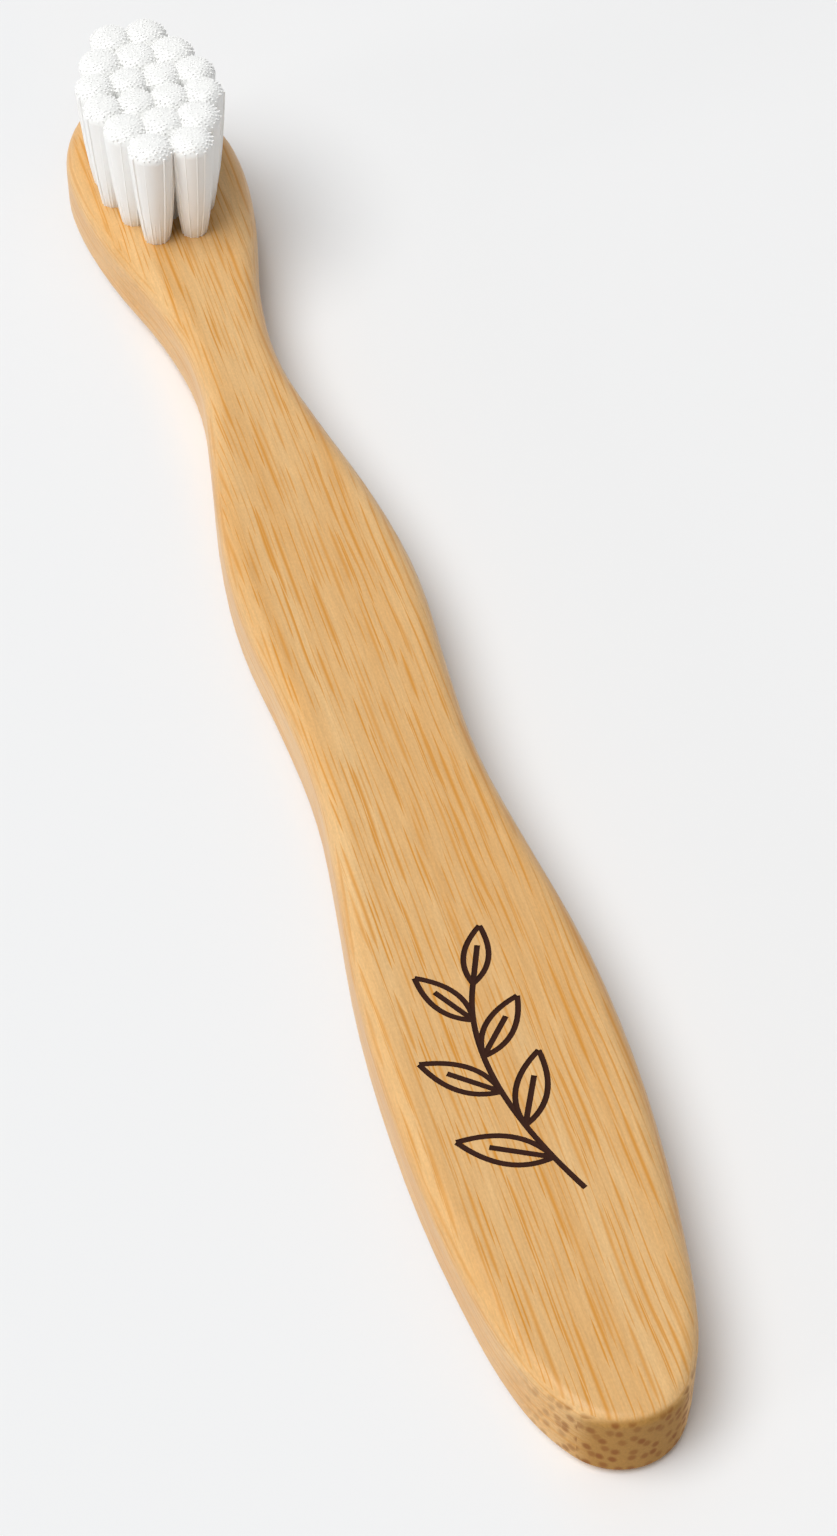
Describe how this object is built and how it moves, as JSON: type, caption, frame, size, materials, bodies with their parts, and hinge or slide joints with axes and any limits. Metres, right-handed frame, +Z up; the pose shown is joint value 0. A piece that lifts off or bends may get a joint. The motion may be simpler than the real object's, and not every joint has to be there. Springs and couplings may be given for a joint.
{
  "type": "manual toothbrush",
  "caption": "Small flat bamboo toothbrush with a waisted handle, slim neck and rounded head, and flared nylon tufts held in blind holes by flat wire anchors.",
  "frame": {"origin": "on the flat back, under the middle of the handle's box", "axes": "+X along the brush towards the head, +Z up out of the head through the tufts"},
  "size_m": [0.1277, 0.0158, 0.0154],
  "materials": {
    "bamboo": "satin",
    "bristle_nylon": "satin",
    "anchor_metal": "bare"
  },
  "bodies": {
    "root": {"anchors": "anchor_metal", "handle": "bamboo", "tuft_row1_1": "bristle_nylon", "tuft_row1_2": "bristle_nylon", "tuft_row2_1": "bristle_nylon", "tuft_row2_2": "bristle_nylon", "tuft_row2_3": "bristle_nylon", "tuft_row3_1": "bristle_nylon", "tuft_row3_2": "bristle_nylon", "tuft_row3_3": "bristle_nylon", "tuft_row3_4": "bristle_nylon", "tuft_row4_1": "bristle_nylon", "tuft_row4_2": "bristle_nylon", "tuft_row4_3": "bristle_nylon", "tuft_row4_4": "bristle_nylon", "tuft_row5_1": "bristle_nylon", "tuft_row5_2": "bristle_nylon", "tuft_row5_3": "bristle_nylon", "tuft_row6_1": "bristle_nylon", "tuft_row6_2": "bristle_nylon"}
  },
  "joints": []
}
